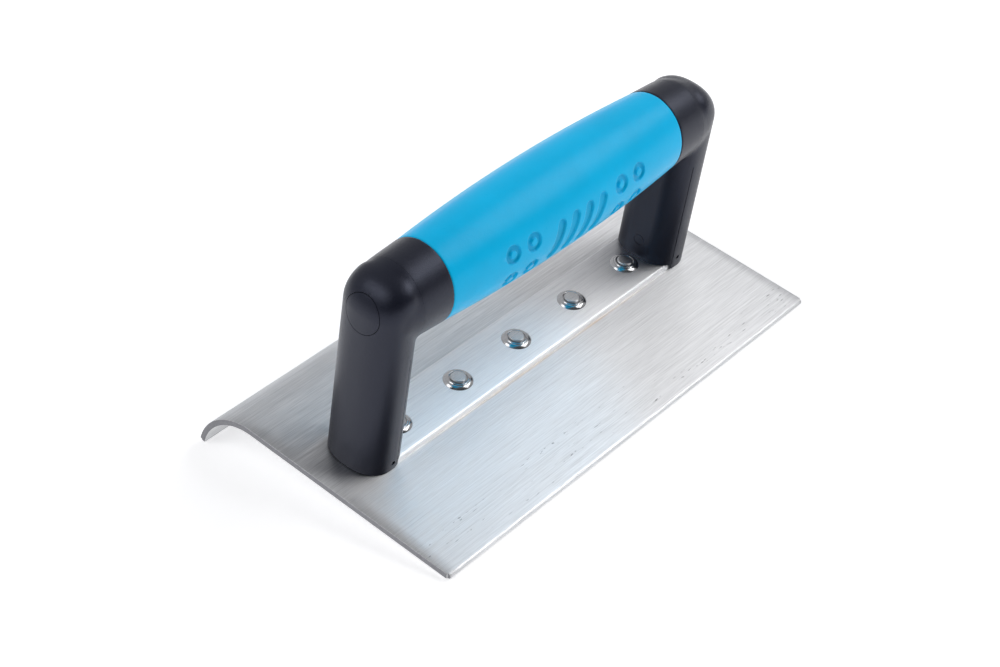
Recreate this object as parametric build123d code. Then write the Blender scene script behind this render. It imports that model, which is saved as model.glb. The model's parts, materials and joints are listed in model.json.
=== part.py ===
"""Concrete edging trowel: a stainless blade with a rounded lip and a closed two-post handle.

Every piece is drawn in blade axes: X along the blade with zero at mid length, Y from the free
edge to the lip, Z up from the sole. The finished pieces are then laid down in the resting pose,
on the free edge and the edge of the lip. All sizes are in millimetres.
"""

import os
from math import acos, atan, atan2, cos, degrees, radians, sin

from build123d import *

os.makedirs("parts", exist_ok=True)

# Blade: one stainless sheet, flat, then rolled down along the far long edge.
BLADE_LENGTH = 180.0
BLADE_WIDTH = 100.0
SHEET = 2.0
LIP_INNER_RADIUS = 19.0
LIP_DEPTH = 19.0
CORNER_RADIUS = 0.5

# Mounting plate: a flat bar riveted to the blade, carrying both posts.
HANDLE_Y = 51.0
PLATE_WIDTH = 21.0
PLATE_LENGTH = 152.0
PLATE_THICKNESS = 2.0
PLATE_END_RADIUS = 3.0
PLATE_EDGE_RADIUS = 0.9
PLATE_TOP = SHEET + PLATE_THICKNESS

# Rivets: countersunk flush in the sole, with a button standing in a domed ring on the plate.
RIVET_PITCH = 28.3
RIVET_COUNT = 5
RIVET_SHANK_RADIUS = 2.3
RIVET_HOLE_RADIUS = 2.35
RIVET_SINK_RADIUS = 3.6
RIVET_SINK_DEPTH = 1.3
RIVET_NECK_RADIUS = 2.6
RIVET_BUTTON_RADIUS = 2.25
RIVET_BUTTON_RISE = 1.65
RIVET_NECK_RISE = 1.3
RING_OUTER_RADIUS = 4.9
RING_FLANK_RADIUS = 4.4
RING_FLANK_RISE = 0.47
RING_CREST_RADIUS = 3.8
RING_CREST_RISE = 0.82
RING_VALLEY_RADIUS = 3.6
RING_RIM_RADIUS = 3.25
RING_RIM_RISE = 1.1
RING_STEP_RADIUS = 2.95
RING_STEP_RISE = 0.6

# Handle: grip axis height over the sole, and the oval sections of posts, collars and sleeve.
GRIP_Z = 59.5
POST_X = 71.3
POST_OUTER = 8.6
POST_INNER = 8.6
POST_OUTER_CORNER = 7.5
POST_OUTER_CORNER_X = 0.6
POST_HALF_Y = 11.3
POST_INNER_CORNER = 7.9
SKIRT_GAP = 0.2
PLATE_CLEARANCE = 0.3
SEAM_X = 66.6
SEAM_HALF_Y = 12.6
SEAM_HALF_Z = 13.4
SLEEVE_HALF_LENGTH = 54.5
COLLAR_HALF_Y = 13.1
COLLAR_HALF_Z = 14.1
SLEEVE_MID_HALF_Y = 15.4
SLEEVE_MID_HALF_Z = 15.8
SHOULDER_X = 68.7
SHOULDER_Z = 60.5

# Post cores: two moulded pockets beside a boss that holds a threaded insert.
POCKET_HALF_X = 6.7
POCKET_HALF_Y = 9.4
POCKET_TOP = 40.0
BOSS_HALF_Y = 5.8
INSERT_RADIUS = 4.5
INSERT_LENGTH = 14.0
SCREW_RADIUS = 3.0
SCREW_CLEARANCE = 0.02
SCREW_HEAD_RADIUS = 5.2
SCREW_LENGTH = 15.0

# Moulding marks on each post: ejector disc on the inner face, gate pit low on the free-edge side.
EJECTOR_RADIUS = 2.0
EJECTOR_DEPTH = 0.2
EJECTOR_Z = 11.0
GATE_RADIUS = 0.7
GATE_DEPTH = 0.7
LEFT_GATE = (-70.5, 4.7)
RIGHT_GATE = (71.0, 6.0)

# Tie rod: runs through the grip core from post to post, under the two end plugs.
ROD_Z = 60.9
ROD_RADIUS = 3.0
ROD_BORE_RADIUS = 3.2
ROD_HALF_LENGTH = 77.2
COUNTERBORE_X = 72.0
COUNTERBORE_RADIUS = 6.4
WASHER_RADIUS = 6.1
WASHER_THICKNESS = 1.2
NUT_ACROSS_FLATS = 10.0
NUT_HEIGHT = 3.6
PLUG_INNER_X = 77.6
PLUG_CLEARANCE = 0.08
SPIGOT_RADIUS = 8.6
SPIGOT_LENGTH = 3.0
SPIGOT_CLEARANCE = 0.05
CORE_HALF_Y = 10.4
CORE_HALF_Z = 11.2

# Sleeve marks: shallow rings and a centre field of leaning bars, on both faces.
MARK_DEPTH = 0.5
RING_MARK_OUTER = 2.55
RING_MARK_INNER = 1.4
RING_MARK_X = (20.9, 30.0)
RING_MARK_ANGLE = 18.0
BAR_MARK_COUNT = 4
BAR_MARK_PITCH = 6.0
BAR_MARK_WIDTH = 2.6
BAR_MARK_LENGTH = 12.0
BAR_MARK_LEAN = 20.0

# Resting pose: the free edge and the lip edge both have a full round of half the sheet.
SHEET_HALF = SHEET / 2
LIP_OUTER_RADIUS = LIP_INNER_RADIUS + SHEET
LIP_MID_RADIUS = LIP_INNER_RADIUS + SHEET_HALF
LIP_CENTRE_Z = -LIP_INNER_RADIUS
LIP_END_Z = SHEET - LIP_DEPTH + SHEET_HALF
LIP_SWEEP = degrees(acos((LIP_END_Z - LIP_CENTRE_Z) / LIP_MID_RADIUS))
LIP_END_Y = BLADE_WIDTH - SHEET_HALF
LIP_CENTRE_Y = LIP_END_Y - LIP_MID_RADIUS * sin(radians(LIP_SWEEP))
TILT = degrees(atan2(SHEET_HALF - LIP_END_Z, LIP_END_Y - SHEET_HALF))


def revolve_about_z(points):
    """Solid of revolution about Z from a closed outline of (radius, z) points."""
    outline = make_face(Polyline([(radius, 0, z) for radius, z in points], close=True))
    return revolve(outline, Axis.Z)


def across_x(x, z):
    """Drawing plane across the handle at one station: its local X is the blade's Y."""
    return Plane((x, HANDLE_Y, z), x_dir=(0, 1, 0), z_dir=(1, 0, 0))


def rod_along_x(radius, x_low, x_high, z=ROD_Z):
    """Round bar along X between two stations, on the handle's mid plane."""
    return extrude(across_x(x_low, z) * Circle(radius), x_high - x_low, dir=(1, 0, 0))


def oval_section(x, half_y, half_z):
    """Ellipse across the grip axis at one station along X."""
    return across_x(x, GRIP_Z) * Ellipse(half_y, half_z)


def rivet_stations():
    """X stations of the rivets, symmetric about mid length."""
    first = -RIVET_PITCH * (RIVET_COUNT - 1) / 2
    return [first + RIVET_PITCH * index for index in range(RIVET_COUNT)]


def on_rivets(shape):
    """Copies of a shape drawn on the Z axis, one at each rivet."""
    return [Pos(x, HANDLE_Y, 0) * shape for x in rivet_stations()]


def turned(shape):
    """The same piece at the other end of the handle, turned half way round."""
    return Pos(0, HANDLE_Y, 0) * Rot(0, 0, 180) * Pos(0, -HANDLE_Y, 0) * shape


def blade():
    """Flat sheet with the rolled lip, full rounds on both long edges and rivet holes."""
    end_angle = 90 - LIP_SWEEP
    lip_centre = (LIP_CENTRE_Y, LIP_CENTRE_Z)
    lip_end = (LIP_END_Y, LIP_END_Z)
    free_centre = (SHEET_HALF, SHEET_HALF)
    top = Line((SHEET_HALF, SHEET), (LIP_CENTRE_Y, SHEET))
    outer = CenterArc(lip_centre, LIP_OUTER_RADIUS, end_angle, LIP_SWEEP)
    lip_cap = CenterArc(lip_end, SHEET_HALF, end_angle - 180, 180)
    inner = CenterArc(lip_centre, LIP_INNER_RADIUS, end_angle, LIP_SWEEP)
    sole = Line((LIP_CENTRE_Y, 0), (SHEET_HALF, 0))
    free_cap = CenterArc(free_centre, SHEET_HALF, 90, 180)
    outline = make_face(Plane.YZ * Curve([top, outer, lip_cap, inner, sole, free_cap]))
    sheet = extrude(outline, BLADE_LENGTH / 2, both=True)
    plan = extrude(
        Pos(0, BLADE_WIDTH / 2) * RectangleRounded(BLADE_LENGTH, BLADE_WIDTH, CORNER_RADIUS),
        BLADE_WIDTH,
        both=True,
    )
    side = extrude(
        Plane.XZ * RectangleRounded(BLADE_LENGTH, 2 * (LIP_DEPTH - SHEET), CORNER_RADIUS),
        2 * BLADE_WIDTH,
        both=True,
    )
    sheet = sheet & plan & side
    shank = RIVET_HOLE_RADIUS
    sink = RIVET_SINK_RADIUS + RIVET_HOLE_RADIUS - RIVET_SHANK_RADIUS
    hole = revolve_about_z(
        [(0, 0), (sink, 0), (shank, RIVET_SINK_DEPTH), (shank, PLATE_TOP), (0, PLATE_TOP)]
    )
    return sheet - on_rivets(hole)


def mounting_plate():
    """Flat bar with rounded ends, rivet holes and countersinks for the two post screws."""
    outline = RectangleRounded(PLATE_LENGTH, PLATE_WIDTH, PLATE_END_RADIUS)
    bar = extrude(Pos(0, HANDLE_Y, SHEET) * outline, PLATE_THICKNESS)
    bar = fillet(bar.faces().sort_by(Axis.Z)[-1].edges(), PLATE_EDGE_RADIUS)
    hole = Pos(0, 0, PLATE_TOP / 2) * Cylinder(RIVET_HOLE_RADIUS, PLATE_TOP)
    bar -= on_rivets(hole)
    sink = screw_outline(SCREW_CLEARANCE, PLATE_TOP + PLATE_THICKNESS)
    return bar - [Pos(x, HANDLE_Y, 0) * sink for x in (-POST_X, POST_X)]


def screw_outline(gain, top):
    """Countersunk head and shank on Z, the head's flat face on the underside of the plate."""
    head = SCREW_HEAD_RADIUS + gain
    shank = SCREW_RADIUS + gain
    return revolve_about_z(
        [(0, SHEET), (head, SHEET), (shank, PLATE_TOP), (shank, top), (0, top)]
    )


def plate_rivets():
    """Five rivets: countersunk head in the sole, shank, neck and button."""
    neck_top = PLATE_TOP + RIVET_NECK_RISE
    button_top = PLATE_TOP + RIVET_BUTTON_RISE
    rivet = revolve_about_z(
        [
            (0, 0),
            (RIVET_SINK_RADIUS, 0),
            (RIVET_SHANK_RADIUS, RIVET_SINK_DEPTH),
            (RIVET_SHANK_RADIUS, PLATE_TOP + RING_STEP_RISE),
            (RIVET_NECK_RADIUS, PLATE_TOP + RING_STEP_RISE),
            (RIVET_NECK_RADIUS, neck_top),
            (RIVET_BUTTON_RADIUS, button_top),
            (0, button_top),
        ]
    )
    return Compound(on_rivets(rivet))


def rivet_rings():
    """Five domed rings, each with a raised inner rim round a gap for the button."""
    crest = PLATE_TOP + RING_CREST_RISE
    rim = PLATE_TOP + RING_RIM_RISE
    step = PLATE_TOP + RING_STEP_RISE
    inside = RIVET_SHANK_RADIUS + SCREW_CLEARANCE
    base = Line((inside, 0, PLATE_TOP), (RING_OUTER_RADIUS, 0, PLATE_TOP))
    dome = ThreePointArc(
        (RING_OUTER_RADIUS, 0, PLATE_TOP),
        (RING_FLANK_RADIUS, 0, PLATE_TOP + RING_FLANK_RISE),
        (RING_CREST_RADIUS, 0, crest),
    )
    shelf = Polyline(
        (RING_CREST_RADIUS, 0, crest),
        (RING_VALLEY_RADIUS, 0, crest),
        (RING_RIM_RADIUS, 0, rim),
        (RING_STEP_RADIUS, 0, rim),
        (RING_STEP_RADIUS, 0, step),
        (inside, 0, step),
        (inside, 0, PLATE_TOP),
    )
    ring = revolve(make_face(Curve([base, dome, shelf])), Axis.Z)
    return Compound(on_rivets(ring))


def outer_face():
    """Outer face of a post section: two rounded corners joined by a shallow arc."""
    side = POST_HALF_Y - POST_OUTER_CORNER
    bulge = POST_OUTER - POST_OUTER_CORNER_X - POST_OUTER_CORNER
    turn = degrees(2 * atan(bulge / side))
    radius = POST_OUTER_CORNER + side / sin(radians(turn))
    first = CenterArc((POST_OUTER_CORNER_X, -side), POST_OUTER_CORNER, -90, 90 - turn)
    middle = CenterArc((POST_OUTER - radius, 0), radius, -turn, 2 * turn)
    last = CenterArc((POST_OUTER_CORNER_X, side), POST_OUTER_CORNER, turn, 90 - turn)
    return [first, middle, last]


def post_section():
    """Post outline: rounded on the outside, flatter inner face between rounded corners."""
    flat = POST_HALF_Y - POST_INNER_CORNER
    corner_x = POST_INNER_CORNER - POST_INNER
    top = Line((POST_OUTER_CORNER_X, POST_HALF_Y), (corner_x, POST_HALF_Y))
    upper = CenterArc((corner_x, flat), POST_INNER_CORNER, 90, 90)
    inside = Line((-POST_INNER, flat), (-POST_INNER, -flat))
    lower = CenterArc((corner_x, -flat), POST_INNER_CORNER, 180, 90)
    bottom = Line((corner_x, -POST_HALF_Y), (POST_OUTER_CORNER_X, -POST_HALF_Y))
    return make_face(Curve([*outer_face(), top, upper, inside, lower, bottom]))


def post_column():
    """Upright from just above the blade to the shoulder."""
    foot_z = SHEET + SKIRT_GAP
    foot = Pos(POST_X, HANDLE_Y, foot_z) * post_section()
    return extrude(foot, SHOULDER_Z - foot_z)


def plate_recess():
    """Room for the end of the plate under the post, so that the skirt comes down past it."""
    outline = RectangleRounded(
        PLATE_LENGTH + 2 * PLATE_CLEARANCE,
        PLATE_WIDTH + 2 * PLATE_CLEARANCE,
        PLATE_END_RADIUS + PLATE_CLEARANCE,
    )
    return extrude(Pos(0, HANDLE_Y, SHEET) * outline, PLATE_THICKNESS)


def shoulder():
    """Quarter turn of the post's outer outline, carried on to meet the oval of the seam."""
    start = SHOULDER_X - POST_X
    rest = Polyline(
        (POST_OUTER_CORNER_X, POST_HALF_Y),
        (start, POST_HALF_Y),
        (start, -POST_HALF_Y),
        (POST_OUTER_CORNER_X, -POST_HALF_Y),
    )
    outline = make_face(Curve([*outer_face(), rest]))
    hinge = Axis((SHOULDER_X, HANDLE_Y, SHOULDER_Z), (0, -1, 0))
    turn = revolve(Pos(POST_X, HANDLE_Y, SHOULDER_Z) * outline, hinge, 90)
    end = Plane((SEAM_X, HANDLE_Y, SHOULDER_Z), x_dir=(0, 0, 1), z_dir=(1, 0, 0))
    run = extrude(end * Pos(-start, 0) * outline, start + POST_X - SEAM_X, dir=(1, 0, 0))
    half_z = SHOULDER_Z - GRIP_Z + POST_OUTER - start
    stub = loft(
        [
            oval_section(SEAM_X, SEAM_HALF_Y, SEAM_HALF_Z),
            oval_section(SHOULDER_X, POST_HALF_Y, half_z),
        ]
    )
    return turn + run + stub


def collar():
    """Tapered oval collar between the sleeve and the seam."""
    return loft(
        [
            oval_section(SLEEVE_HALF_LENGTH, COLLAR_HALF_Y, COLLAR_HALF_Z),
            oval_section(SEAM_X, SEAM_HALF_Y, SEAM_HALF_Z),
        ]
    )


def post_pocket():
    """Two moulded pockets in the foot, either side of the screw boss."""
    foot = Pos(POST_X, HANDLE_Y, PLATE_TOP) * Ellipse(POCKET_HALF_X, POCKET_HALF_Y)
    boss = Pos(POST_X, HANDLE_Y, POCKET_TOP / 2) * Box(2 * POST_OUTER, 2 * BOSS_HALF_Y, POCKET_TOP)
    return extrude(foot, POCKET_TOP - PLATE_TOP) - boss


def post_envelope():
    """Outer form of the right-hand post and shoulder, before any bores."""
    return post_column() - plate_recess() - collar() + shoulder()


def ejector_mark():
    """Shallow disc on the inner face of the right-hand post."""
    face = POST_X - POST_INNER
    return rod_along_x(EJECTOR_RADIUS, face, face + EJECTOR_DEPTH, EJECTOR_Z)


def gate_pit(x, z):
    """Small pit low on the free-edge side of a post."""
    pit = Cylinder(GATE_RADIUS, 2 * GATE_DEPTH)
    return Pos(x, HANDLE_Y - POST_HALF_Y, z) * Rot(90, 0, 0) * pit


def bored_post():
    """Right-hand post: shoulder, hollow foot, insert bore, spigot socket and rod counterbore."""
    reach = POST_X + POST_OUTER
    socket = SEAM_X + SPIGOT_LENGTH + SPIGOT_CLEARANCE
    foot = Pos(POST_X, HANDLE_Y, PLATE_TOP)
    post = post_envelope() - post_pocket() - ejector_mark()
    post -= foot * extrude(Circle(INSERT_RADIUS), INSERT_LENGTH)
    post -= foot * extrude(Circle(SCREW_RADIUS + SCREW_CLEARANCE), SCREW_LENGTH + PLATE_TOP)
    post -= rod_along_x(SPIGOT_RADIUS + SPIGOT_CLEARANCE, SEAM_X, socket)
    post -= rod_along_x(ROD_BORE_RADIUS, SEAM_X, reach)
    return post - rod_along_x(COUNTERBORE_RADIUS, COUNTERBORE_X, reach)


def right_end_plug():
    """Snap-in cover whose face follows the shoulder, closing the rod counterbore."""
    reach = POST_X + POST_OUTER
    body = rod_along_x(COUNTERBORE_RADIUS - PLUG_CLEARANCE, PLUG_INNER_X, reach)
    return body & post_envelope()


def grip_core():
    """Rigid core: collars at both ends, a slimmer middle under the sleeve, spigots and rod bore."""
    middle = extrude(
        oval_section(-SLEEVE_HALF_LENGTH, CORE_HALF_Y, CORE_HALF_Z),
        2 * SLEEVE_HALF_LENGTH,
        dir=(1, 0, 0),
    )
    spigot = rod_along_x(SPIGOT_RADIUS, SEAM_X, SEAM_X + SPIGOT_LENGTH)
    core = middle + collar() + turned(collar()) + spigot + turned(spigot)
    end = SEAM_X + SPIGOT_LENGTH
    return core - rod_along_x(ROD_BORE_RADIUS, -end, end)


def barrel(inset):
    """Barrel form of the sleeve, drawn in by an inset all round."""
    sections = []
    for station in (-1.0, -0.5, 0.0, 0.5, 1.0):
        bulge = 1 - station**2
        half_y = COLLAR_HALF_Y + (SLEEVE_MID_HALF_Y - COLLAR_HALF_Y) * bulge - inset
        half_z = COLLAR_HALF_Z + (SLEEVE_MID_HALF_Z - COLLAR_HALF_Z) * bulge - inset
        sections.append(oval_section(station * SLEEVE_HALF_LENGTH, half_y, half_z))
    return loft(sections)


def sleeve_marks():
    """Prisms of the rings and bars, aimed at the free-edge face and at the lip face."""
    reach = 2 * SLEEVE_MID_HALF_Y
    ring = extrude(Circle(RING_MARK_OUTER) - Circle(RING_MARK_INNER), reach)
    bar = extrude(SlotOverall(BAR_MARK_LENGTH, BAR_MARK_WIDTH, 90 - BAR_MARK_LEAN), reach)
    centre = Pos(0, HANDLE_Y, GRIP_Z)
    marks = []
    for face in (-1, 1):
        for side in (-1, 1):
            for x in RING_MARK_X:
                for tilt in (-RING_MARK_ANGLE, RING_MARK_ANGLE):
                    turn = Rot(face * 90 + tilt, 0, 0)
                    marks.append(centre * Pos(side * x, 0, 0) * turn * ring)
        for index in range(BAR_MARK_COUNT):
            x = (index - (BAR_MARK_COUNT - 1) / 2) * BAR_MARK_PITCH
            marks.append(centre * Pos(x, 0, 0) * Rot(face * 90, 0, 0) * bar)
    return marks


def grip_sleeve():
    """Soft barrel-shaped sleeve moulded over the core, with shallow marks on both faces."""
    hollow = extrude(
        oval_section(-SLEEVE_HALF_LENGTH, CORE_HALF_Y, CORE_HALF_Z),
        2 * SLEEVE_HALF_LENGTH,
        dir=(1, 0, 0),
    )
    skin = barrel(0) - barrel(MARK_DEPTH)
    return barrel(0) - hollow - [skin & mark for mark in sleeve_marks()]


def tie_rod():
    """Plain steel rod through the core and both shoulders."""
    return rod_along_x(ROD_RADIUS, -ROD_HALF_LENGTH, ROD_HALF_LENGTH)


def tie_rod_washers():
    """One washer on each counterbore floor."""
    washer = rod_along_x(WASHER_RADIUS, COUNTERBORE_X, COUNTERBORE_X + WASHER_THICKNESS)
    washer -= rod_along_x(
        ROD_BORE_RADIUS, COUNTERBORE_X, COUNTERBORE_X + WASHER_THICKNESS
    )
    return Compound([washer, turned(washer)])


def tie_rod_nuts():
    """One hexagon nut outside each washer."""
    start = COUNTERBORE_X + WASHER_THICKNESS
    corner = NUT_ACROSS_FLATS / 2 / cos(radians(30))
    nut = extrude(across_x(start, ROD_Z) * RegularPolygon(corner, 6), NUT_HEIGHT, dir=(1, 0, 0))
    nut -= rod_along_x(ROD_RADIUS + SCREW_CLEARANCE, start, start + NUT_HEIGHT)
    return Compound([nut, turned(nut)])


def foot_screws():
    """Two countersunk screws, up through the mounting plate into the posts."""
    screw = screw_outline(0, SHEET + SCREW_LENGTH)
    return Compound([Pos(x, HANDLE_Y, 0) * screw for x in (-POST_X, POST_X)])


def foot_inserts():
    """Two threaded inserts moulded into the feet of the posts."""
    middle = PLATE_TOP + INSERT_LENGTH / 2
    insert = Cylinder(INSERT_RADIUS, INSERT_LENGTH) - Cylinder(
        SCREW_RADIUS + SCREW_CLEARANCE, INSERT_LENGTH
    )
    return Compound([Pos(x, HANDLE_Y, middle) * insert for x in (-POST_X, POST_X)])


def resting(shape):
    """Turn a piece from blade axes into the resting pose, standing on Z = 0."""
    lift = SHEET_HALF - SHEET_HALF * (sin(radians(TILT)) + cos(radians(TILT)))
    edge_near = SHEET_HALF * (cos(radians(TILT)) - sin(radians(TILT))) - SHEET_HALF
    edge_far = LIP_END_Y * cos(radians(TILT)) - LIP_END_Z * sin(radians(TILT)) + SHEET_HALF
    return Pos(0, -(edge_near + edge_far) / 2, lift) * Rot(TILT, 0, 0) * shape


def build():
    """Every piece by node name, in blade axes."""
    post = bored_post()
    plug = right_end_plug()
    return {
        "blade": blade(),
        "mounting_plate": mounting_plate(),
        "plate_rivets": plate_rivets(),
        "rivet_rings": rivet_rings(),
        "left_post": turned(post) - gate_pit(*LEFT_GATE),
        "right_post": post - gate_pit(*RIGHT_GATE),
        "grip_core": grip_core(),
        "grip_sleeve": grip_sleeve(),
        "left_end_plug": turned(plug),
        "right_end_plug": plug,
        "tie_rod": tie_rod(),
        "tie_rod_washers": tie_rod_washers(),
        "tie_rod_nuts": tie_rod_nuts(),
        "foot_screws": foot_screws(),
        "foot_inserts": foot_inserts(),
    }


for name, piece in build().items():
    export_step(resting(piece), f"parts/{name}.step")
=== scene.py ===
import json
import math

import bmesh
import bpy
from mathutils import Matrix, Vector


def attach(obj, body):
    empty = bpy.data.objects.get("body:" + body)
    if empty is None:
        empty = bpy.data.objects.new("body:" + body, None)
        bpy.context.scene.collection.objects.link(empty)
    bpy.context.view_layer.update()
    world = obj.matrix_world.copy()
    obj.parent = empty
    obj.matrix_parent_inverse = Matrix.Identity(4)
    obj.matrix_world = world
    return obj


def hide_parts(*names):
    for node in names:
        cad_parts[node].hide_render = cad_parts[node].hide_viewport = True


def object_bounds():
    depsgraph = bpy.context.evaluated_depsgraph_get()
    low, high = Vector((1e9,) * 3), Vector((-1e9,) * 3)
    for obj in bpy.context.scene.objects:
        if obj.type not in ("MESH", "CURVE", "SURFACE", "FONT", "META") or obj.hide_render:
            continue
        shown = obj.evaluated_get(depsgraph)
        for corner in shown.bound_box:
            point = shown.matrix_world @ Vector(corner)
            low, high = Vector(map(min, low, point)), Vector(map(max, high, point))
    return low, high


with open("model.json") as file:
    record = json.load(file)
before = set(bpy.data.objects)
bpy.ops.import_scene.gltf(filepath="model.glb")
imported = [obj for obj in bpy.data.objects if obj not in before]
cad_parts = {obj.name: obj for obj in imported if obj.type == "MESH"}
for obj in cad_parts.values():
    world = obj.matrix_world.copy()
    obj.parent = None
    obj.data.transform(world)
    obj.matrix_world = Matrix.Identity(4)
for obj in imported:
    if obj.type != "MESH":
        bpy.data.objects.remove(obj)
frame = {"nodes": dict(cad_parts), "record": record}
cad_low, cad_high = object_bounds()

MM = 0.001

# ---------------------------------------------------------------- the tool's own axes
# The blade lies tipped. Its sole mount gives the tilt, so pieces can be drawn along the blade.
SOLE = frame["record"]["mounts"][0]
TILT = math.atan2(SOLE["axis"][1], -SOLE["axis"][2])
TIPPED = Matrix.Translation(SOLE["pos_m"]) @ Matrix.Rotation(TILT, 4, "X")
UNTIPPED = TIPPED.inverted()


def tool_box(node):
    """Lowest and highest corner of a CAD node in the tool's axes: X along, Y to the lip, Z off the sole."""
    points = [UNTIPPED @ v.co for v in frame["nodes"][node].data.vertices]
    low = Vector(min(p[i] for p in points) for i in range(3))
    high = Vector(max(p[i] for p in points) for i in range(3))
    return low, high


# ---------------------------------------------------------------- material helpers
class Nodes:
    """Small wrapper for building one material's node tree."""

    def __init__(self, name):
        self.material = bpy.data.materials.new(name)
        self.material.use_nodes = True
        self.tree = self.material.node_tree
        self.shader = self.tree.nodes["Principled BSDF"]
        self.place = self.add("ShaderNodeTexCoord").outputs["Object"]

    def add(self, kind, **values):
        node = self.tree.nodes.new(kind)
        for key, value in values.items():
            setattr(node, key, value)
        return node

    def join(self, source, target):
        self.tree.links.new(source, target)

    def mapped(self, scale):
        """The piece's coordinates in the resting pose, stretched."""
        node = self.add("ShaderNodeMapping")
        node.inputs["Scale"].default_value = scale
        self.join(self.place, node.inputs["Vector"])
        return node.outputs["Vector"]

    def noise(self, vector, scale=1.0, detail=4.0, roughness=0.6):
        node = self.add("ShaderNodeTexNoise")
        node.inputs["Scale"].default_value = scale
        node.inputs["Detail"].default_value = detail
        node.inputs["Roughness"].default_value = roughness
        self.join(vector, node.inputs["Vector"])
        return node.outputs["Fac"]

    def remap(self, value, low, high, to_low, to_high):
        node = self.add("ShaderNodeMapRange")
        for key, number in zip(("From Min", "From Max", "To Min", "To Max"), (low, high, to_low, to_high)):
            node.inputs[key].default_value = number
        self.join(value, node.inputs["Value"])
        return node.outputs["Result"]

    def maths(self, kind, a, b):
        node = self.add("ShaderNodeMath", operation=kind)
        for socket, value in zip(node.inputs, (a, b)):
            if isinstance(value, (int, float)):
                socket.default_value = value
            else:
                self.join(value, socket)
        return node.outputs["Value"]

    def ramp(self, value, stops):
        node = self.add("ShaderNodeValToRGB")
        ramp = node.color_ramp
        while len(ramp.elements) < len(stops):
            ramp.elements.new(0.5)
        for element, (position, colour) in zip(ramp.elements, stops):
            element.position = position
            element.color = (*colour, 1.0)
        self.join(value, node.inputs["Fac"])
        return node.outputs["Color"]

    def blend(self, share, colour, other):
        """The other colour laid over the first, by a share from 0 to 1."""
        node = self.add("ShaderNodeMix", data_type="RGBA")
        node.inputs[7].default_value = (*other, 1.0)
        self.join(share, node.inputs[0])
        self.join(colour, node.inputs[6])
        return node.outputs[2]

    def bump(self, height, strength, distance):
        node = self.add("ShaderNodeBump")
        node.inputs["Strength"].default_value = strength
        node.inputs["Distance"].default_value = distance
        self.join(height, node.inputs["Height"])
        return node.outputs["Normal"]

    def along_x(self):
        """The grain's direction."""
        node = self.add("ShaderNodeCombineXYZ")
        node.inputs["X"].default_value = 1.0
        return node.outputs["Vector"]

    def set(self, **values):
        """Shader sockets: a number or colour is set directly, and a node's output is linked."""
        for key, value in values.items():
            socket = self.shader.inputs[key.replace("_", " ")]
            if isinstance(value, bpy.types.NodeSocket):
                self.join(value, socket)
            else:
                socket.default_value = value


def shade_of(level, tint=(1.0, 1.005, 1.02)):
    """A level of grey, or of a tint."""
    return tuple(min(1.0, level * t) for t in tint)


def brushed(name, level, rough, tint=(1.0, 1.005, 1.02), bump=0.35, wear_and_shade=None):
    """Brushed metal with the grain along X. An optional function of (nodes, colour) may stain or mark the
    colour, or paint shade into it.
    """
    n = Nodes(name)
    fine = n.noise(n.mapped((90, 4600, 4600)), detail=2, roughness=0.7)
    streak = n.noise(n.mapped((16, 1500, 1500)), detail=4)
    cloud = n.noise(n.mapped((16, 22, 22)), detail=3)
    scratch = n.remap(n.noise(n.mapped((48, 3200, 3200)), detail=0), 0.7, 0.8, 0.0, 1.0)
    grain = n.maths("ADD", n.maths("MULTIPLY", fine, 0.65), n.maths("MULTIPLY", streak, 0.35))
    lined = n.maths("ADD", grain, n.maths("MULTIPLY", scratch, 0.12))
    stops = ((0.3, 0.8), (0.5, 1.0), (0.7, 1.2))
    colour = n.ramp(lined, [(stop, shade_of(level * share, tint)) for stop, share in stops])
    if wear_and_shade:
        colour = wear_and_shade(n, colour)
    n.set(
        Base_Color=colour,
        Metallic=1.0,
        Roughness=n.maths(
            "ADD", n.remap(lined, 0.3, 0.7, rough + 0.1, rough - 0.1), n.remap(cloud, 0.3, 0.7, -0.03, 0.03)
        ),
        Anisotropic=0.9,
        Anisotropic_Rotation=0.25,
        Tangent=n.along_x(),
        Normal=n.bump(lined, bump, 0.00003),
    )
    return n.material


def band(n, along, middle, half):
    """1 in a soft band of one coordinate, 0 outside it."""
    away = n.maths("ABSOLUTE", n.maths("SUBTRACT", along, middle), 0.0)
    return n.remap(away, half * 0.4, half, 1.0, 0.0)


def blade_wear_and_end_shade(n, colour):
    """Painted shade on the end faces, warm tarnish by the plate's front edge, and specks near the free edge.
    """
    own = n.add("ShaderNodeMapping")
    own.inputs["Location"].default_value = UNTIPPED.translation
    own.inputs["Rotation"].default_value = (-TILT, 0.0, 0.0)
    n.join(n.place, own.inputs["Vector"])
    split = n.add("ShaderNodeSeparateXYZ")
    n.join(own.outputs["Vector"], split.inputs["Vector"])
    along_y = split.outputs["Y"]
    patchy = n.remap(n.noise(n.mapped((90, 600, 600)), detail=3), 0.35, 0.6, 0.3, 0.85)
    warm = n.maths("MULTIPLY", band(n, along_y, TARNISH_Y, 0.75 * MM), patchy)
    warm = n.maths("MULTIPLY", warm, band(n, split.outputs["X"], 0.0, 1.12 * TARNISH_X))
    stained = n.blend(warm, colour, (0.6, 0.5, 0.42))
    specks = n.remap(n.noise(n.mapped((330, 1700, 1)), detail=1), 0.66, 0.7, 0.0, 1.0)
    rows = n.remap(n.noise(n.mapped((7, 420, 1)), detail=1), 0.52, 0.6, 0.0, 1.0)
    near_edge = n.maths("MULTIPLY", band(n, along_y, SPECK_Y, 9 * MM), rows)
    marked = n.blend(n.maths("MULTIPLY", specks, near_edge), stained, (0.12, 0.12, 0.13))
    # Painted shade: darker where the surface faces along X, on the blade's end faces.
    towards = n.add("ShaderNodeSeparateXYZ")
    n.join(n.add("ShaderNodeNewGeometry").outputs["Normal"], towards.inputs["Vector"])
    end_face_shade = n.remap(n.maths("ABSOLUTE", towards.outputs["X"], 0.0), 0.75, 0.97, 0.0, 0.75)
    return n.blend(end_face_shade, marked, (0.13, 0.13, 0.15))


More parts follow.
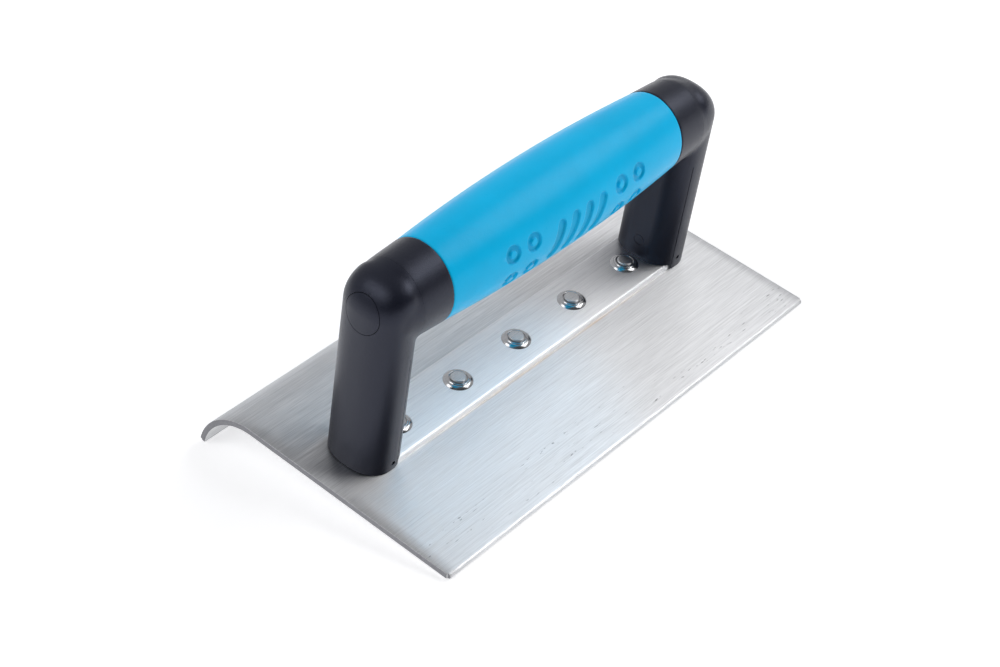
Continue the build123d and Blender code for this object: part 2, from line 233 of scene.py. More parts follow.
def moulded(name, colour, rough, grain, bump, gloss=0.5, tint=(1, 1, 1), recess=False):
    """Moulded plastic or rubber: fine satin texture with slow colour and gloss variation, and, with recess
    set, painted shade darkening the recessed marks.
    """
    n = Nodes(name)
    fine = n.noise(n.mapped((1, 1, 1)), scale=grain, detail=3)
    slow = n.noise(n.mapped((1, 1, 1)), scale=70, detail=3)
    tone = n.remap(slow, 0.3, 0.7, 0.4, 0.6)
    if recess:
        # Painted shade: the marks are darker by their depth.
        recess_shade = n.add("ShaderNodeAttribute", attribute_name="recess").outputs["Fac"]
        tone = n.maths("SUBTRACT", tone, n.maths("MULTIPLY", recess_shade, 0.2))
    # The first ramp stop is reached only in the painted recess shade.
    recess_shade_colour = tuple(c * 0.55 for c in colour)
    darker = tuple(c * 0.96 for c in colour)
    lighter = tuple(min(1.0, c * 1.04) for c in colour)
    n.set(
        Base_Color=n.ramp(tone, [(0.0, recess_shade_colour), (0.4, darker), (0.6, lighter)]),
        Roughness=n.remap(fine, 0.3, 0.7, rough - 0.06, rough + 0.06),
        Specular_IOR_Level=gloss,
        Specular_Tint=(*tint, 1.0),
        Normal=n.bump(fine, bump, 0.00012),
    )
    return n.material


TARNISH_Y = tool_box("mounting_plate")[0].y - 0.2 * MM
TARNISH_X = 62 * MM
SPECK_Y = tool_box("blade")[0].y + 9 * MM
BLACK, BLACK_SHEEN = (0.006, 0.007, 0.014), (0.72, 0.77, 1.0)
BLUE = (0.0, 0.55, 0.97)
finishes = {
    "blade_steel": brushed("blade_steel_look", 0.69, 0.42, wear_and_shade=blade_wear_and_end_shade),
    "plate_steel": brushed("plate_steel_look", 0.9, 0.4),
    "rivet_steel": brushed("rivet_steel_look", 0.62, 0.34),
    "ring_polish": brushed("ring_polish_look", 0.56, 0.15, bump=0.05),
    "post_plastic": moulded("post_plastic_look", BLACK, 0.34, 2600, 0.5, tint=BLACK_SHEEN),
    "core_plastic": moulded("core_plastic_look", BLACK, 0.34, 2600, 0.6, tint=BLACK_SHEEN),
    "plug_plastic": moulded("plug_plastic_look", BLACK, 0.35, 2600, 0.5, tint=BLACK_SHEEN),
    "sleeve_rubber": moulded("sleeve_rubber_look", BLUE, 0.33, 1800, 0.3, gloss=0.16, recess=True),
    "zinc_steel": brushed("zinc_steel_look", 0.6, 0.3, tint=(0.98, 1.0, 1.05)),
    "insert_brass": brushed("insert_brass_look", 0.7, 0.3, tint=(1.0, 0.78, 0.42)),
}
for node, obj in frame["nodes"].items():
    entry = next(s for s in frame["record"]["subparts"] if s["node"] == node)
    obj.material_slots[0].material = finishes[entry["material_slot"]]


# ---------------------------------------------------------------- mesh helpers
def dress(obj, slot, *nodes, sharp=35.0):
    """Laid in the resting pose, smooth with sharp edges kept, finished, and standing for its nodes."""
    mesh = obj.data
    mesh.transform(TIPPED)
    mesh.shade_smooth()
    mesh.set_sharp_from_angle(angle=math.radians(sharp))
    mesh.materials.clear()
    mesh.materials.append(finishes[slot])
    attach(obj, "root")
    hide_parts(*nodes)
    return obj


def new_object(name, vertices, faces):
    """A mesh drawn in the tool's own axes, with its normals outward."""
    mesh = bpy.data.meshes.new(name)
    mesh.from_pydata([tuple(v) for v in vertices], [], faces)
    mesh.validate()
    tidy = bmesh.new()
    tidy.from_mesh(mesh)
    bmesh.ops.recalc_face_normals(tidy, faces=tidy.faces)
    tidy.to_mesh(mesh)
    tidy.free()
    obj = bpy.data.objects.new(name, mesh)
    bpy.context.scene.collection.objects.link(obj)
    return obj


def ring_faces(rings, around, first=0, closed=False):
    """Quads between rings of equal count, each ring closed on itself."""
    faces = []
    for i in range(rings if closed else rings - 1):
        here, there = first + i * around, first + (i + 1) % rings * around
        for j in range(around):
            k = (j + 1) % around
            faces.append((here + j, here + k, there + k, there + j))
    return faces


def softened(points, radius):
    """A polyline of (x, y) with each inner corner rounded, or cut less where its sides are short."""
    steps = 4
    result = [Vector(points[0])]
    for before, corner, after in zip(points, points[1:], points[2:]):
        corner, a, b = Vector(corner), Vector(before), Vector(after)
        cut = min(radius, (a - corner).length * 0.45, (b - corner).length * 0.45)
        start = corner + (a - corner).normalized() * cut
        end = corner + (b - corner).normalized() * cut
        for i in range(steps + 1):
            t = i / steps
            result.append(start * (1 - t) ** 2 + corner * 2 * t * (1 - t) + end * t ** 2)
    return result + [Vector(points[-1])]


def lathe(name, centres, outline):
    """Turned pieces on Z, one at each centre, from a closed or axis-to-axis outline of (radius, z)."""
    around = 72
    vertices, faces = [], []
    for centre in centres:
        first = len(vertices)
        for radius, z in outline:
            for j in range(around):
                a = math.tau * j / around
                vertices.append(centre + Vector((radius * math.cos(a), radius * math.sin(a), z)))
        faces += ring_faces(len(outline), around, first, closed=outline[0][0] > 0)
        if outline[0][0] == 0:
            faces = [f for f in faces if len(set(f)) == 4]
    obj = new_object(name, vertices, faces)
    weld = bmesh.new()
    weld.from_mesh(obj.data)
    bmesh.ops.remove_doubles(weld, verts=weld.verts, dist=1e-7)
    bmesh.ops.recalc_face_normals(weld, faces=weld.faces)
    weld.to_mesh(obj.data)
    weld.free()
    return obj


# ---------------------------------------------------------------- blade
blade_low, blade_high = tool_box("blade")
plate_low, plate_high = tool_box("mounting_plate")
SHEET = plate_low.z
LIP_RADIUS = 19 * MM
EDGE_BREAK = 0.2 * MM
CORNER = 0.5 * MM


def blade_centreline():
    """Points (y, z) midway through the sheet with normals, from the free edge over the roll to the lip."""
    middle = LIP_RADIUS + SHEET / 2
    end_z = blade_low.z + SHEET / 2
    sweep = math.acos((end_z + LIP_RADIUS) / middle)
    roll_y = blade_high.y - SHEET / 2 - middle * math.sin(sweep)
    start_y = blade_low.y + SHEET / 2
    line = []
    close = [share * CORNER for share in (0.0, 0.08, 0.2, 0.35, 0.55, 0.8, 1.1)]
    flat = roll_y - start_y
    for past in close + [flat * i / 24 for i in range(1, 24)]:
        line.append((Vector((start_y + past, SHEET / 2)), Vector((0, 1))))
    turns = [sweep * i / 48 for i in range(48)] + [sweep - past / middle for past in reversed(close)]
    for a in turns:
        out = Vector((math.sin(a), math.cos(a)))
        line.append((Vector((roll_y, -LIP_RADIUS)) + out * middle, out))
    return line


def blade_outline(line, half):
    """Closed outline of the sheet at a half thickness: top, rounded lip edge, sole, rounded free edge."""
    caps = 8
    top = [p + n * half for p, n in line]
    sole = [p - n * half for p, n in reversed(line)]
    lip_point, lip_normal = line[-1]
    lip_along = Vector((lip_normal.y, -lip_normal.x))
    free_point, free_normal = line[0]
    lip_cap = []
    free_cap = []
    for i in range(1, caps):
        a = math.pi * i / caps
        lip_cap.append(lip_point + lip_normal * half * math.cos(a) + lip_along * half * math.sin(a))
        free_cap.append(free_point - free_normal * half * math.cos(a) - Vector((1, 0)) * half * math.sin(a))
    return top + lip_cap + sole + free_cap


def make_blade():
    """The sheet from end to end, with rounded corners and softly broken edges."""
    line = blade_centreline()
    lengths = [0.0]
    for (a, _), (b, _) in zip(line, line[1:]):
        lengths.append(lengths[-1] + (b - a).length)
    total = lengths[-1]
    outline = blade_outline(line, SHEET / 2)
    caps = (len(outline) - 2 * len(line)) // 2
    along = lengths + [total] * caps + lengths[::-1] + [0.0] * caps
    half_x = blade_high.x

    def reach(distance):
        short = max(0.0, CORNER - min(distance, total - distance))
        return half_x - CORNER + math.sqrt(CORNER ** 2 - short ** 2)

    stations = []
    for i in range(5):
        a = math.pi / 2 * i / 4
        # (back from the end face, thinner on each side), from the flat out to the end face
        stations.append((EDGE_BREAK * (1 - math.sin(a)), EDGE_BREAK * (1 - math.cos(a))))
    inner = [(x / 20, 0.0, 0.0) for x in range(-19, 20)]
    vertices = []
    order = [(-1, i, t) for i, t in reversed(stations)] + inner + [(1, i, t) for i, t in stations]
    for share, inset, thin in order:
        shape = blade_outline(line, SHEET / 2 - thin)
        for point, distance in zip(shape, along):
            x = share * reach(distance)
            if abs(share) == 1:
                x -= share * inset
            vertices.append(Vector((x, point.x, point.y)))
    around = len(outline)
    faces = ring_faces(len(order), around)
    count = len(line)
    for ring in (0, len(order) - 1):
        base = ring * around
        pairs = [base + i for i in range(count)], [base + count + caps + i for i in range(count)][::-1]
        for i in range(count - 1):
            faces.append((pairs[0][i], pairs[0][i + 1], pairs[1][i + 1], pairs[1][i]))
        faces.append(tuple(base + count - 1 + i for i in range(caps + 2)))
        faces.append(tuple([base + 2 * count + caps - 1 + i for i in range(caps + 1)] + [base]))
    return new_object("blade_sheet", vertices, faces)


dress(make_blade(), "blade_steel", "blade", sharp=50)


# ---------------------------------------------------------------- plate, rivets and rings
def plate_outline(grow):
    """The bar's rounded outline, larger all round by an amount."""
    half_x, half_y = plate_high.x, (plate_high.y - plate_low.y) / 2
    middle_y = (plate_high.y + plate_low.y) / 2
    end_radius = 3 * MM
    points = []
    for corner, (sx, sy) in enumerate(((1, 1), (-1, 1), (-1, -1), (1, -1))):
        for i in range(13):
            a = math.pi / 2 * (corner + i / 12)
            points.append((
                sx * (half_x - end_radius) + (end_radius + grow) * math.cos(a),
                middle_y + sy * (half_y - end_radius) + (end_radius + grow) * math.sin(a),
            ))
    return points


def make_plate():
    """Bar with a bright rolled-over top edge and rounded ends."""
    roll = 0.95 * MM
    profile = [(0.0, 0.0)]
    for i in range(9):
        a = math.pi / 2 * i / 8
        profile.append((roll * (1 - math.cos(a)), plate_high.z - plate_low.z - roll * (1 - math.sin(a))))
    vertices = []
    for inset, rise in profile:
        vertices += [Vector((x, y, plate_low.z + rise)) for x, y in plate_outline(-inset)]
    around = len(vertices) // len(profile)
    faces = ring_faces(len(profile), around)
    faces.append(tuple(range(around)))
    faces.append(tuple(range((len(profile) - 1) * around, len(profile) * around)))
    return new_object("rivet_bar", vertices, faces)


dress(make_plate(), "plate_steel", "mounting_plate", sharp=50)

ring_low, ring_high = tool_box("rivet_rings")
RING_RADIUS = (ring_high.y - ring_low.y) / 2
RIVETS = 5
rivet_y = (ring_high.y + ring_low.y) / 2
rivet_span = ring_high.x - ring_low.x - 2 * RING_RADIUS
rivet_places = [
    Vector((ring_low.x + RING_RADIUS + rivet_span * i / (RIVETS - 1), rivet_y, 0.0)) for i in range(RIVETS)
]
RING_CREST = (3.8, 0.82)
RING_FLANK_PULL = (4.45, 0.53)
RING_BORE = 2.34
RING_RIM = ((3.62, 0.8), (3.35, 1.04), (3.1, 1.1), (2.95, 1.02), (2.95, 0.6), (RING_BORE, 0.6))
top = plate_high.z
flank = []
for i in range(9):
    t = i / 8
    pull, end = 2 * t * (1 - t), t ** 2
    out = RING_RADIUS * (1 - t) ** 2 + (RING_FLANK_PULL[0] * pull + RING_CREST[0] * end) * MM
    rise = (RING_FLANK_PULL[1] * pull + RING_CREST[1] * end) * MM
    flank.append((out, top + rise))
ring_outline = [(RING_BORE * MM, top)] + flank
ring_outline += [(out * MM, top + rise * MM) for out, rise in RING_RIM]
rings = lathe("rivet_washers", rivet_places, [tuple(p) for p in softened(ring_outline, 0.07 * MM)])
dress(rings, "ring_polish", "rivet_rings", sharp=60)

# (radius, height) in mm: the stem's from the sole, the head's from the top of the bar
STEM = ((0.0, -0.03), (3.5, -0.03), (3.6, 0.02), (2.3, 1.3))
HEAD = ((2.3, 0.6), (2.6, 0.62), (2.6, 1.3), (2.3, 1.62), (0.0, 1.65))
rivet_outline = [(out * MM, z * MM) for out, z in STEM]
rivet_outline += [(out * MM, top + rise * MM) for out, rise in HEAD]
buttons = lathe("rivet_buttons", rivet_places, [tuple(p) for p in softened(rivet_outline, 0.16 * MM)])
dress(buttons, "rivet_steel", "plate_rivets", sharp=50)


# ---------------------------------------------------------------- grip: core with collars, soft sleeve
sleeve_low, sleeve_high = tool_box("grip_sleeve")
core_low, core_high = tool_box("grip_core")
GRIP_Y, GRIP_Z = (core_low.y + core_high.y) / 2, (core_low.z + core_high.z) / 2
HALF_SLEEVE = sleeve_high.x
COLLAR_Y, COLLAR_Z = (core_high.y - core_low.y) / 2, (core_high.z - core_low.z) / 2
SEAM_X, SEAM_Y, SEAM_Z = core_high.x - 3 * MM, 12.6 * MM, 13.4 * MM
CORE_Y, CORE_Z = 10.4 * MM, 11.2 * MM
ROD_BORE, SPIGOT = 3.2 * MM, 8.6 * MM
BARREL_Y, BARREL_Z = (sleeve_high.y - sleeve_low.y) / 2, (sleeve_high.z - sleeve_low.z) / 2


def make_core_tube():
    """The core under the sleeve, with its spigots and rod bore: oval rings at (x, half_y, half_z)."""
    around = 96
    end = core_high.x
    half = [
        (HALF_SLEEVE, CORE_Y, CORE_Z),
        (HALF_SLEEVE, SPIGOT, SPIGOT),
        (end, SPIGOT, SPIGOT),
        (end, ROD_BORE, ROD_BORE),
    ]
    stations = [(-x, y, z) for x, y, z in reversed(half)] + half
    vertices = []
    for x, half_y, half_z in stations:
        for j in range(around):
            a = math.tau * j / around
            vertices.append(Vector((x, GRIP_Y + half_y * math.cos(a), GRIP_Z + half_z * math.sin(a))))
    return new_object("grip_core_tube", vertices, ring_faces(len(stations), around, closed=True))


RING_OUT, RING_IN, RING_ANGLE = 3.0 * MM, 1.35 * MM, math.radians(18)
RING_PLACES = [sign * x * MM for sign in (-1, 1) for x in (20.9, 30.0)]
BARS, BAR_PITCH, BAR_WIDTH, BAR_LENGTH, BAR_LEAN = 4, 6.6 * MM, 3.4 * MM, 13.5 * MM, math.radians(20)
MARK_DEPTH, MARK_SLOPE = 0.7 * MM, 0.25 * MM
MARK_REACH = math.radians(42)
END_STEP = 0.06 * MM


def step_down(distance):
    """0 outside a mark's outline, 1 inside, with a short smooth wall. distance is negative inside."""
    t = min(1.0, max(0.0, 0.5 - distance / MARK_SLOPE))
    return t * t * (3 - 2 * t)


def mark_depth(x, around_the_grip):
    """Depth of the shallow marks at a point: x along, and the angle round the grip."""
    deepest = 0.0
    for face in (0.0, math.pi):
        off = (around_the_grip - face + math.pi) % math.tau - math.pi
        if abs(off) > MARK_REACH:
            continue
        rise = off * BARREL_Y
        for place in RING_PLACES:
            for tilt in (-RING_ANGLE, RING_ANGLE):
                gap = math.hypot(x - place, rise - tilt * BARREL_Y)
                inside = max(gap - RING_OUT, RING_IN - gap)
                deepest = max(deepest, step_down(inside))
        for i in range(BARS):
            u = x - (i - (BARS - 1) / 2) * BAR_PITCH
            lean = BAR_LEAN if face else -BAR_LEAN
            along = -u * math.sin(lean) + rise * math.cos(lean)
            across = u * math.cos(lean) + rise * math.sin(lean)
            past = max(0.0, abs(along) - (BAR_LENGTH - BAR_WIDTH) / 2)
            deepest = max(deepest, step_down(math.hypot(across, past) - BAR_WIDTH / 2))
    return deepest * MARK_DEPTH


sleeve_recess = []


def make_sleeve():
    """Barrel-shaped sleeve with rolled ends and shallow marks on both faces."""
    fine, coarse, marked = 0.28 * MM, 1.6 * MM, 34 * MM
    lip = 0.45 * MM
    xs = [-HALF_SLEEVE + lip]
    while xs[-1] < HALF_SLEEVE - lip:
        xs.append(min(HALF_SLEEVE - lip, xs[-1] + (fine if abs(xs[-1] + fine) < marked else coarse)))

    def skin(x):
        bulge = 1 - (x / HALF_SLEEVE) ** 2
        step = END_STEP * (1 - bulge)
        return (
            COLLAR_Y + (BARREL_Y - COLLAR_Y) * bulge - step,
            COLLAR_Z + (BARREL_Z - COLLAR_Z) * bulge - step,
        )

    angles = []
    for face in (0.0, math.pi):
        count = int(2 * MARK_REACH * BARREL_Y / fine)
        angles += [face - MARK_REACH + 2 * MARK_REACH * i / count for i in range(count)]
        rest = math.pi - 2 * MARK_REACH
        angles += [face + MARK_REACH + rest * i / 30 for i in range(30)]
    vertices = []

    def add_ring(x, drop):
        half_y, half_z = skin(x)
        for a in angles:
            depth = mark_depth(x, a) if abs(x) < marked else 0.0
            sleeve_recess.append(depth / MARK_DEPTH)
            grow = -drop - depth
            y, z = (half_y + grow) * math.cos(a), (half_z + grow) * math.sin(a)
            vertices.append(Vector((x, GRIP_Y + y, GRIP_Z + z)))

    def add_oval(x, half_y, half_z):
        for a in angles:
            sleeve_recess.append(0.0)
            vertices.append(Vector((x, GRIP_Y + half_y * math.cos(a), GRIP_Z + half_z * math.sin(a))))

    steps = 5
    add_oval(-HALF_SLEEVE, CORE_Y, CORE_Z)
    for i in range(steps):
        a = math.pi / 2 * i / steps
        add_ring(-HALF_SLEEVE + lip * (1 - math.cos(a)), lip * (1 - math.sin(a)))
    for x in xs:
        add_ring(x, 0.0)
    for i in reversed(range(steps)):
        a = math.pi / 2 * i / steps
        add_ring(HALF_SLEEVE - lip * (1 - math.cos(a)), lip * (1 - math.sin(a)))
    add_oval(HALF_SLEEVE, CORE_Y, CORE_Z)
    around = len(angles)
    return new_object("grip_sleeve_soft", vertices, ring_faces(len(vertices) // around, around, closed=True))


sleeve = make_sleeve()
# The marks' depth, which the sleeve's material turns into painted shade.
recess = sleeve.data.attributes.new("recess", "FLOAT", "POINT")
recess.data.foreach_set("value", sleeve_recess)
dress(sleeve, "sleeve_rubber", "grip_sleeve", sharp=60)


# ---------------------------------------------------------------- posts, collars and plugs
VOXEL = 0.32 * MM
rod_low, rod_high = tool_box("tie_rod")
ROD_Z = (rod_low.z + rod_high.z) / 2
plug_low, plug_high = tool_box("right_end_plug")
PLUG_RADIUS = (plug_high.y - plug_low.y) / 2
post_low, post_high = tool_box("right_post")
POST_OUTER, POST_INNER, POST_HALF_Y, POST_CORNER = 8.6 * MM, 8.6 * MM, 11.3 * MM, 7.9 * MM
POST_X = post_high.x - POST_OUTER
SHOULDER_X, SHOULDER_Z = 68.7 * MM, 60.5 * MM
SQUARED = 2.35
SEAM_GAP, PLUG_GAP = 0.05 * MM, 0.17 * MM
FAR = 30 * MM
LAP = 5 * MM
PLATE_CLEARANCE, COLLAR_STEP, SLEEVE_STEP = 0.3 * MM, 0.15 * MM, 0.02 * MM
EASE_START, EASE_DROP, EASE_REACH = 3.5 * MM, 3 * MM, 3 * MM
HUB_SLOT_X, ROD_HOLE_X, ROD_HOLE_LENGTH = 72 * MM, 70 * MM, 8 * MM
WELL_LAP = 0.1 * MM
SEAT_RISE, SEAT_RADIUS, SEAT_LENGTH = 7 * MM, 4.5 * MM, 14.1 * MM
GATES = {-1: (70.5 * MM, 4.7 * MM), 1: (71.0 * MM, 6.0 * MM)}
GATE_RADIUS, GATE_DEPTH = 0.75 * MM, 1.6 * MM
DISC_RADIUS, DISC_GROOVE, DISC_DEPTH = 2.0 * MM, 1.82 * MM, 0.24 * MM
PARTING_IN, PARTING_WIDTH, PARTING_DEPTH = 3.0 * MM, 0.25 * MM, 0.62 * MM


def squared_oval(half_a, half_b, power, steps, first=0.0, sweep=math.tau):
    """Points of an oval that is squared when the power is over 2."""
    points = []
    for i in range(steps):
        angle = first + sweep * i / steps
        a, b = math.cos(angle), math.sin(angle)
        points.append((
            half_a * math.copysign(abs(a) ** (2 / power), a),
            half_b * math.copysign(abs(b) ** (2 / power), b),
        ))
    return points


def closed_tube(name, rings):
    """Solid from rings of equal count, with flat ends."""
    around = len(rings[0])
    faces = ring_faces(len(rings), around)
    faces += [tuple(range(around)), tuple(range((len(rings) - 1) * around, len(rings) * around))]
    return new_object(name, [v for ring in rings for v in ring], faces)


def upright(side):
    """The post up to the shoulder, a little longer than its foot."""
    outline = squared_oval(POST_OUTER, POST_HALF_Y, SQUARED, 60, -math.pi / 2, math.pi)
    middle_x, middle_y = POST_CORNER - POST_INNER, POST_HALF_Y - POST_CORNER
    for start, y in ((math.pi / 2, middle_y), (math.pi, -middle_y)):
        for i in range(25):
            a = start + math.pi / 2 * i / 24
            outline.append((middle_x + POST_CORNER * math.cos(a), y + POST_CORNER * math.sin(a)))
    rings = []
    for z in (SHEET - 2 * MM, SHOULDER_Z):
        rings.append([Vector((side * (POST_X + x), GRIP_Y + y, z)) for x, y in outline])
    return closed_tube("upright", rings)


def quarter_turn(side):
    """The post's outer outline turned over the shoulder."""
    half_outline = squared_oval(POST_OUTER, POST_HALF_Y, SQUARED, 60, -math.pi / 2, math.pi)
    start = SHOULDER_X - POST_X
    outline = [(start, -POST_HALF_Y)] + half_outline + [(0.0, POST_HALF_Y), (start, POST_HALF_Y)]
    rings = []
    for i in range(33):
        a = math.pi / 2 * i / 32
        ring = []
        for x, y in outline:
            arm = x - start
            ring.append(
                Vector((side * (SHOULDER_X + arm * math.cos(a)), GRIP_Y + y, SHOULDER_Z + arm * math.sin(a)))
            )
        rings.append(ring)
    return closed_tube("shoulder", rings)


def neck(side):
    """The tapered collar, carried over the seam to the shoulder: (x, half_y, half_z, squareness)."""
    stations = [
        (HALF_SLEEVE, COLLAR_Y, COLLAR_Z, 2.0),
        (SEAM_X, SEAM_Y, SEAM_Z, 2.0),
        (69.2 * MM, 12.15 * MM, 12.65 * MM, 2.0),
        (71.8 * MM, 11.75 * MM, 11.75 * MM, 2.1),
        (75.0 * MM, 10.6 * MM, 10.1 * MM, 2.2),
    ]
    rings = []
    for x, half_y, half_height, power in stations:
        oval = squared_oval(half_y, half_height, power, 120)
        rings.append([Vector((side * x, GRIP_Y + y, GRIP_Z + z)) for y, z in oval])
    return closed_tube("neck", rings)


def baked(obj):
    """Applies the object's modifiers to its mesh."""
    graph = bpy.context.evaluated_depsgraph_get()
    result = bpy.data.meshes.new_from_object(obj.evaluated_get(graph))
    obj.modifiers.clear()
    obj.data = result
    return obj


def bar(name, centre, radius, length, axis="X", around=96, inner=0.0):
    """Round bar or tube used as a cutter."""
    quarter = {"X": "Y", "Y": "X"}
    turn = Matrix.Rotation(math.pi / 2, 3, quarter[axis]) if axis in quarter else Matrix.Identity(3)
    vertices, faces = [], []
    profile = [(radius, -1), (radius, 1)] + ([(inner, 1), (inner, -1)] if inner else [])
    for r, end in profile:
        for j in range(around):
            a = math.tau * j / around
            round_point = Vector((r * math.cos(a), r * math.sin(a), end * length / 2))
            vertices.append(Vector(centre) + turn @ round_point)
    faces = ring_faces(len(profile), around, closed=bool(inner))
    if not inner:
        faces += [tuple(range(around)), tuple(range(around, 2 * around))]
    return new_object(name, vertices, faces)


def block(name, low, high):
    """Box used as a cutter."""
    low, high = Vector(low), Vector(high)
    vertices = [Vector((x, y, z)) for z in (low.z, high.z) for y in (low.y, high.y) for x in (low.x, high.x)]
    faces = [(0, 1, 3, 2), (4, 6, 7, 5), (0, 4, 5, 1), (2, 3, 7, 6), (0, 2, 6, 4), (1, 5, 7, 3)]
    return new_object(name, vertices, faces)


def cut(obj, cutter, kind="DIFFERENCE"):
    """Boolean with a cutter, applied at once."""
    modifier = obj.modifiers.new("cut", "BOOLEAN")
    modifier.operation = kind
    modifier.solver = "MANIFOLD"
    modifier.object = cutter
    baked(obj)
    bpy.data.objects.remove(cutter)
    return obj


def twin(obj, name):
    """A copy with a mesh of its own."""
    copy = obj.copy()
    copy.data = obj.data.copy()
    copy.name = name
    bpy.context.scene.collection.objects.link(copy)
    return copy


def joined(objs, name):
    """One object from several meshes."""
    whole = bmesh.new()
    for obj in objs:
        whole.from_mesh(obj.data)
        bpy.data.objects.remove(obj)
    mesh = bpy.data.meshes.new(name)
    whole.to_mesh(mesh)
    whole.free()
    result = bpy.data.objects.new(name, mesh)
    bpy.context.scene.collection.objects.link(result)
    return result


def eased(skin, side):
    """Evens out the joined forms: a little everywhere, and more where the collar runs into the shoulder."""
    even = skin.modifiers.new("even", "REMESH")
    even.mode = "VOXEL"
    even.voxel_size = VOXEL
    baked(skin)
    group = skin.vertex_groups.new(name="ease")
    for v in skin.data.vertices:
        past = max(0.0, abs(side * v.co.x - SHOULDER_X) - EASE_START)
        below = max(0.0, GRIP_Z - SEAM_Z + EASE_DROP - v.co.z)
        weight = 1 - math.hypot(past, below) / EASE_REACH
        if weight > 0:
            group.add([v.index], weight, "REPLACE")
    blend = skin.modifiers.new("blend", "SMOOTH")
    blend.vertex_group = "ease"
    blend.factor, blend.iterations = 0.5, 90
    ease = skin.modifiers.new("ease", "SMOOTH")
    ease.factor, ease.iterations = 0.5, 4
    return baked(skin)


def across(side, near, far, low_y, high_y, low_z, high_z):
    """Box cutter between two stations out from mid length, and between Y and Z limits."""
    a, b = sorted((side * near, side * far))
    return block("cutter", (a, low_y, low_z), (b, high_y, high_z))


def handle_end(side):
    """Post, plug and collar cut from one eased skin, so that they meet flush: side is -1 left, 1 right."""
    word = "right" if side > 0 else "left"
    skin = eased(joined([upright(side), quarter_turn(side), neck(side)], word + "_skin"), side)
    front, rear = GRIP_Y - FAR, GRIP_Y + FAR
    tall = GRIP_Z + FAR
    foot = post_low.z

    reach = post_high.x + LAP
    hub = ((plug_low.x + reach) / 2 * side, GRIP_Y, ROD_Z)
    plug = twin(skin, word + "_plug_cap")
    cut(plug, bar("cutter", hub, PLUG_RADIUS - PLUG_GAP / 2, reach - plug_low.x), "INTERSECT")

    under = GRIP_Z - SEAM_Z - COLLAR_STEP
    inside = HALF_SLEEVE - LAP
    shell = twin(skin, word + "_collar")
    cut(shell, across(side, inside, SEAM_X, front, rear, under, tall), "INTERSECT")
    cut(shell, across(side, FAR, HALF_SLEEVE + SLEEVE_STEP, front, rear, 0, tall))

    cut(skin, across(side, inside, SEAM_X + SEAM_GAP, front, rear, under, tall))
    cut(skin, across(side, inside, reach, front, rear, SHEET - FAR, foot))
    recess = [[Vector((x, y, z)) for x, y in plate_outline(PLATE_CLEARANCE)] for z in (0.0, plate_high.z)]
    cut(skin, closed_tube("cutter", recess))
    cut(skin, bar("cutter", hub, PLUG_RADIUS + PLUG_GAP / 2, reach - plug_low.x))
    well_x = (HUB_SLOT_X + plug_low.x) / 2 * side
    cut(skin, bar("cutter", (well_x, GRIP_Y, ROD_Z), PLUG_RADIUS, plug_low.x - HUB_SLOT_X + WELL_LAP))
    cut(skin, bar("cutter", (ROD_HOLE_X * side, GRIP_Y, ROD_Z), ROD_BORE, ROD_HOLE_LENGTH))
    seat = (POST_X * side, GRIP_Y, plate_high.z + SEAT_RISE)
    cut(skin, bar("cutter", seat, SEAT_RADIUS, SEAT_LENGTH, axis="Z"))

    gate_x, gate_z = GATES[side]
    gate = (side * gate_x, GRIP_Y - POST_HALF_Y, gate_z)
    cut(skin, bar("cutter", gate, GATE_RADIUS, GATE_DEPTH, axis="Y", around=9))
    disc = (side * post_low.x, GRIP_Y, plate_high.z + SEAT_RISE)
    cut(skin, bar("cutter", disc, DISC_RADIUS, DISC_DEPTH, inner=DISC_GROOVE))
    parting = POST_X - PARTING_IN
    line_y = POST_HALF_Y - PARTING_DEPTH
    for low_y, high_y in ((front, GRIP_Y - line_y), (GRIP_Y + line_y, rear)):
        cut(skin, across(side, parting, parting + PARTING_WIDTH, low_y, high_y, 0, under - MM))
    skin.name = word + "_post_moulding"
    dress(skin, "post_plastic", word + "_post", sharp=40)
    dress(plug, "plug_plastic", word + "_end_plug", sharp=40)
    return shell


collars = [handle_end(-1), handle_end(1)]
tube = make_core_tube()
core = joined([tube] + collars, "grip_core_collars")
dress(core, "core_plastic", "grip_core", sharp=40)

# ---------------------------------------------------------------- stage, light and camera
floor_mesh = bpy.data.meshes.new("floor")
HALF = 6.0
corners = [(-HALF, -HALF, 0), (HALF, -HALF, 0), (HALF, HALF, 0), (-HALF, HALF, 0)]
floor_mesh.from_pydata(corners, [], [(0, 1, 2, 3)])
floor = bpy.data.objects.new("floor", floor_mesh)
floor.location.z = cad_low.z - 0.0002
bpy.context.scene.collection.objects.link(floor)
pale = Nodes("floor_look")
cloudy = pale.noise(pale.mapped((1, 1, 1)), scale=6, detail=2)
# Painted light: the floor glows, brighter further out towards +X and +Y.
aside = pale.add("ShaderNodeVectorMath", operation="DOT_PRODUCT")
pale.join(pale.place, aside.inputs[0])
aside.inputs[1].default_value = (0.8, 0.6, 0.0)
painted_glow = pale.remap(aside.outputs["Value"], 0.15, 0.65, 0.48, 1.1)
pale.set(
    Base_Color=pale.ramp(cloudy, [(0.3, (0.86, 0.86, 0.87)), (0.7, (0.89, 0.89, 0.9))]),
    Roughness=0.9,
    Emission_Color=(1, 1, 1, 1),
    Emission_Strength=painted_glow,
)
floor.data.materials.append(pale.material)


def way_to(azimuth, elevation):
    """Unit vector: azimuth 0 is in front on -Y and 90 is on +X, in degrees."""
    a, e = math.radians(azimuth), math.radians(elevation)
    return Vector((math.sin(a) * math.cos(e), -math.cos(a) * math.cos(e), math.sin(e)))


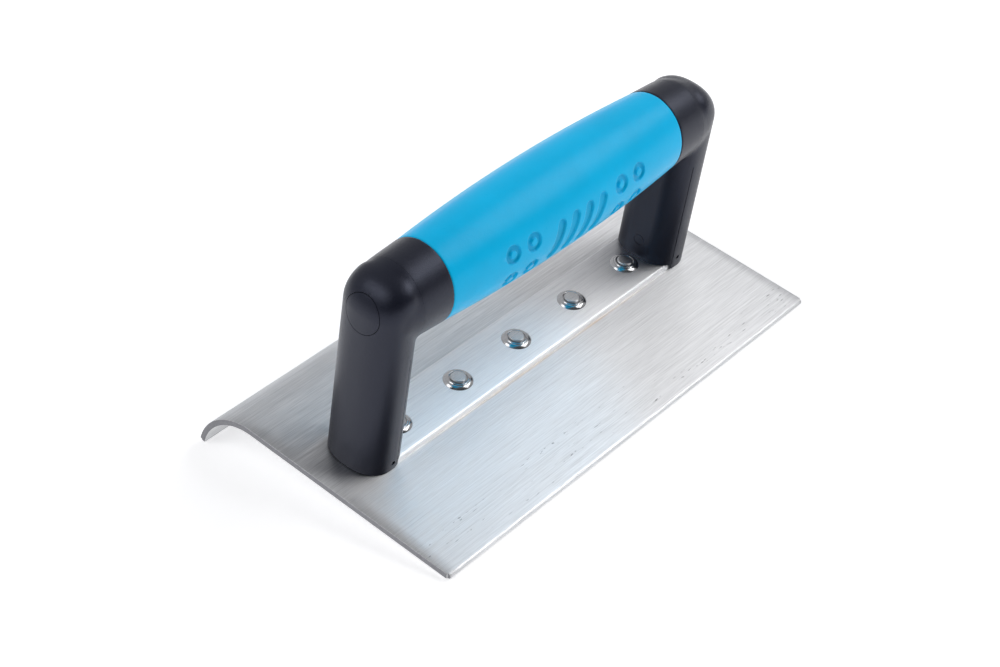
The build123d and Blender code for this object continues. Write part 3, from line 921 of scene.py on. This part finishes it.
world = bpy.data.worlds.new("studio")
bpy.context.scene.world = world
world.use_nodes = True
tree = world.node_tree
background = tree.nodes["Background"]
direction = tree.nodes.new("ShaderNodeTexCoord")
facing = tree.nodes.new("ShaderNodeVectorMath")
facing.operation = "DOT_PRODUCT"
facing.inputs[1].default_value = way_to(-25, 15)
shade = tree.nodes.new("ShaderNodeValToRGB")
ramp = shade.color_ramp
STUDIO_SHADES = ((0.0, 0.78), (0.45, 0.62), (0.75, 0.3), (0.92, 0.1))
while len(ramp.elements) < len(STUDIO_SHADES):
    ramp.elements.new(0.5)
for element, (position, level) in zip(ramp.elements, STUDIO_SHADES):
    element.position = position
    element.color = (level, level * 1.01, level * 1.04, 1)
half = tree.nodes.new("ShaderNodeMapRange")
half.inputs["From Min"].default_value = -1.0
tree.links.new(direction.outputs["Generated"], facing.inputs[0])
tree.links.new(facing.outputs["Value"], half.inputs["Value"])
tree.links.new(half.outputs["Result"], shade.inputs["Fac"])
tree.links.new(shade.outputs["Color"], background.inputs["Color"])
background.inputs["Strength"].default_value = 0.75


def softbox(name, azimuth, elevation, distance, width, height, radiance):
    """Area light of a set brightness round the object, aimed at the grip."""
    lamp = bpy.data.lights.new(name, "AREA")
    lamp.shape = "RECTANGLE"
    lamp.size, lamp.size_y = width, height
    lamp.energy = radiance * math.pi * width * height
    obj = bpy.data.objects.new(name, lamp)
    bpy.context.scene.collection.objects.link(obj)
    obj.location = Vector((0, 0, 0.04)) + way_to(azimuth, elevation) * distance
    obj.rotation_euler = way_to(azimuth, elevation).to_track_quat("Z", "Y").to_euler()
    return obj


softbox("key", 54, 44, 1.0, 0.8, 0.5, 3.1)
softbox("left", -100, 50, 1.0, 0.75, 0.5, 2.1)

scene = bpy.context.scene
scene.view_settings.view_transform = "Standard"
camera = bpy.data.cameras.new("camera")
camera.lens = 79.91
camera.sensor_width = 36.0
rig = bpy.data.objects.new("camera", camera)
scene.collection.objects.link(rig)
AZIMUTH, ELEVATION, ROLL = math.radians(49.940), math.radians(35.158), math.radians(0.358)
rig.rotation_euler = (
    Matrix.Rotation(-AZIMUTH, 3, "Z")
    @ Matrix.Rotation(math.pi / 2 - ELEVATION, 3, "X")
    @ Matrix.Rotation(-ROLL, 3, "Z")
).to_euler()
rig.location = Vector((-0.4435101, -0.3672409, 0.4197986))
scene.camera = rig
